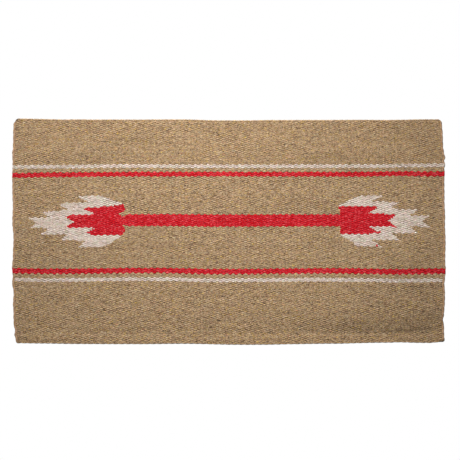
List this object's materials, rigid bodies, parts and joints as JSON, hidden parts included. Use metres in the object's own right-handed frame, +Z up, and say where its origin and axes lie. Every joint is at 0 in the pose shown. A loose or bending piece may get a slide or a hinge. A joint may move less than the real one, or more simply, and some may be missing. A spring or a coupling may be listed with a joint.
{
  "type": "saddle blanket",
  "caption": "Heavy hand-woven wool saddle blanket with stripes and two stepped arrows joined by a bar; folds double across its middle.",
  "frame": {"origin": "middle of the underside, on the surface that the blanket lies on", "axes": "+X along the blanket's length and its wefts, +Y across it along the warp, towards the edge with the narrower field, +Z up out of the upper face"},
  "size_m": [1.626, 0.845, 0.008],
  "materials": {
    "tan_heather": "thick heathered tan wool yarn, matt, with a soft fibre fuzz",
    "cream": "thick undyed cream wool yarn, matt",
    "red": "thick dyed red wool yarn, matt, with slightly darker picks",
    "edge_cord": "twisted tan wool cord, matt",
    "warp_cord": "hard-spun undyed warp cord, covered by the weft"
  },
  "bodies": {
    "left_half": {"end_cord_upper_left": "edge_cord", "field_upper_left": "tan_heather", "cream_stripe_upper_left": "cream", "spacer_upper_left": "tan_heather", "red_stripe_upper_left": "red", "panel_upper_left": "tan_heather", "outer_field_left": "tan_heather", "cream_arrow_left": "cream", "red_arrow_left": "red", "inner_field_upper_left": "tan_heather", "inner_field_lower_left": "tan_heather", "panel_lower_left": "tan_heather", "red_stripe_lower_left": "red", "spacer_lower_left": "tan_heather", "cream_stripe_lower_left": "cream", "field_lower_left": "tan_heather", "end_cord_lower_left": "edge_cord", "selvedge_cord_left": "edge_cord", "warp_left": "warp_cord"},
    "fold_ridge": {"end_cord_upper_fold": "edge_cord", "field_upper_fold": "tan_heather", "cream_stripe_upper_fold": "cream", "spacer_upper_fold": "tan_heather", "red_stripe_upper_fold": "red", "panel_upper_fold": "tan_heather", "inner_field_upper_fold": "tan_heather", "red_bar_fold": "red", "inner_field_lower_fold": "tan_heather", "panel_lower_fold": "tan_heather", "red_stripe_lower_fold": "red", "spacer_lower_fold": "tan_heather", "cream_stripe_lower_fold": "cream", "field_lower_fold": "tan_heather", "end_cord_lower_fold": "edge_cord", "warp_fold": "warp_cord"},
    "right_half": {"end_cord_upper_right": "edge_cord", "field_upper_right": "tan_heather", "cream_stripe_upper_right": "cream", "spacer_upper_right": "tan_heather", "red_stripe_upper_right": "red", "panel_upper_right": "tan_heather", "outer_field_right": "tan_heather", "cream_arrow_right": "cream", "red_arrow_right": "red", "inner_field_upper_right": "tan_heather", "inner_field_lower_right": "tan_heather", "panel_lower_right": "tan_heather", "red_stripe_lower_right": "red", "spacer_lower_right": "tan_heather", "cream_stripe_lower_right": "cream", "field_lower_right": "tan_heather", "end_cord_lower_right": "edge_cord", "selvedge_cord_right": "edge_cord", "warp_right": "warp_cord"}
  },
  "joints": [
    {"name": "left_fold", "type": "hinge", "parent": "left_half", "child": "fold_ridge", "pos_m": [-0.01181, 0, 0.008], "axis": [0, -1, 0], "range_deg": [0, 90.6]},
    {"name": "right_fold", "type": "hinge", "parent": "fold_ridge", "child": "right_half", "pos_m": [0.01181, 0, 0.008], "axis": [0, -1, 0], "range_deg": [0, 90.6]}
  ],
  "couplings": [
    {"joint": "right_fold", "follows": "left_fold", "ratio": 1}
  ]
}
